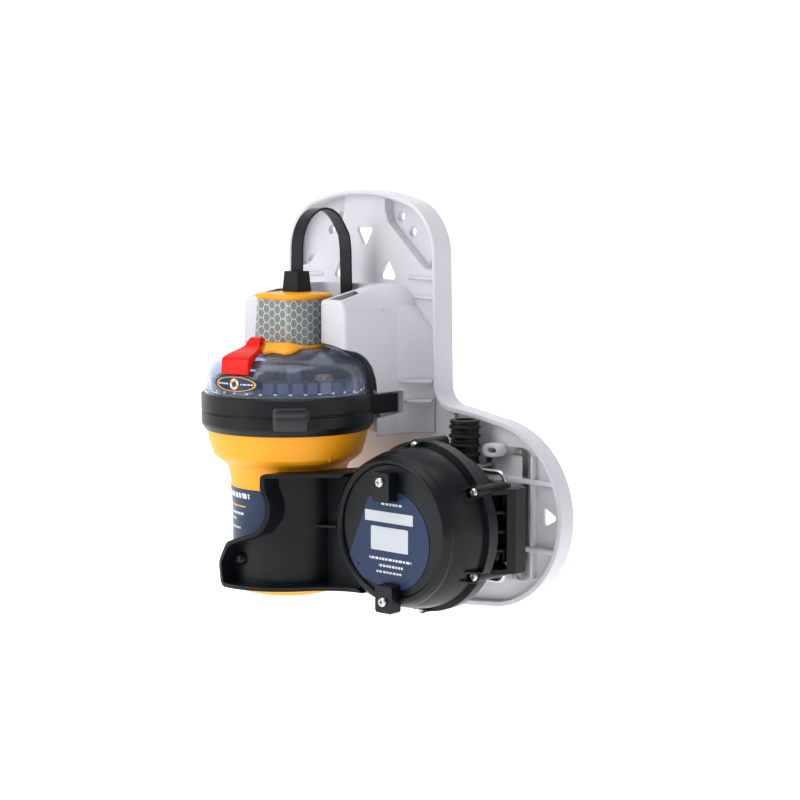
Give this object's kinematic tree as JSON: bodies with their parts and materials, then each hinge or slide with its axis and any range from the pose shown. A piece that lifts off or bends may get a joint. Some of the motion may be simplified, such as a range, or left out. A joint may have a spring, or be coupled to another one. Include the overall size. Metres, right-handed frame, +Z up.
{
  "type": "emergency position beacon",
  "caption": "Yellow float-free distress beacon with clear dome, strap antenna and red switch tab, in a white wall bracket with a black swinging release arm and pressure unit.",
  "frame": {"origin": "on the wall, midway between the two main upper wall screws", "axes": "+Z up, +Y into the wall, +X to the right seen from the front"},
  "size_m": [0.2382, 0.141, 0.2745],
  "materials": {
    "white_plastic": "satin moulded",
    "yellow_plastic": "satin moulded",
    "black_plastic": "satin moulded",
    "antenna_black": "satin moulded",
    "black_rubber": "matt",
    "grey_plastic": "matt",
    "red_plastic": "satin gloss",
    "clear_plastic": "clear, faint blue",
    "diffuser_plastic": "translucent",
    "led_lens": "gloss",
    "navy_label": "satin printed film",
    "label_grey": "satin printed film",
    "reflective_tape": "retroreflective film with a honeycomb grid",
    "steel": "brushed",
    "spring_steel": "bright drawn",
    "copper": "bright",
    "yellow_part": "gloss",
    "circuit_board": "solder mask",
    "chip_black": "matt",
    "ceramic_patch": "matt",
    "battery_wrap": "gloss sleeve"
  },
  "bodies": {
    "root": {"mounting_plate": "white_plastic", "beacon_cradle": "white_plastic", "hinge_frame": "steel", "frame_clips": "white_plastic", "hinge_bail": "steel", "spring_gaiter": "black_rubber", "ejector_spring": "spring_steel", "ejector_rod": "steel", "gaiter_bracket": "steel", "latch_stud": "black_plastic"},
    "beacon": {"lower_body": "yellow_plastic", "base_cap": "yellow_plastic", "body_label": "navy_label", "battery_cells": "battery_wrap", "battery_cradle": "grey_plastic", "power_board": "circuit_board", "seal_ring": "black_plastic", "ring_latch": "black_plastic", "o_ring": "black_rubber", "dome": "clear_plastic", "light_guide": "diffuser_plastic", "main_board": "circuit_board", "board_chips": "chip_black", "satellite_antenna": "ceramic_patch", "strobe_leds": "led_lens", "light_pipe": "diffuser_plastic", "pipe_cap": "chip_black", "tuning_coil": "copper", "tuning_part": "yellow_part", "neck_grip": "yellow_plastic", "reflective_tape": "reflective_tape", "grip_cap": "yellow_plastic", "antenna_boot": "black_rubber", "antenna_blade": "antenna_black", "dome_badge": "navy_label"},
    "switch": {"switch_slider": "yellow_plastic", "red_tab": "red_plastic"},
    "arm": {"release_arm": "black_plastic", "unit_cover": "black_plastic", "unit_label": "navy_label", "label_windows": "label_grey", "unit_clamps": "black_plastic", "clamp_screws": "steel", "case_screws": "steel", "rear_case": "black_plastic", "hinge_block": "black_plastic", "diaphragm": "black_rubber", "plunger_spring": "spring_steel"},
    "plunger": {"release_plunger": "steel"}
  },
  "joints": [
    {"name": "release_arm_swing", "type": "hinge", "parent": "root", "child": "arm", "pos_m": [0.142, -0.036, -0.182], "axis": [0, 0, 1], "range_deg": [0, 90]},
    {"name": "beacon_release", "type": "slide", "parent": "root", "child": "beacon", "axis": [0, -1, 0], "range_m": [0, 0.1201]},
    {"name": "switch_turn", "type": "hinge", "parent": "beacon", "child": "switch", "pos_m": [0, -0.085, -0.072], "axis": [0, 0, 1], "range_deg": [0, 25]},
    {"name": "plunger_travel", "type": "slide", "parent": "arm", "child": "plunger", "axis": [0, 1, 0], "range_m": [0, 0.003], "stiffness_N_per_m": 300}
  ],
  "couplings": [
    {"joint": "beacon_release", "follows": "release_arm_swing", "m_per_rad": 0.0764}
  ]
}
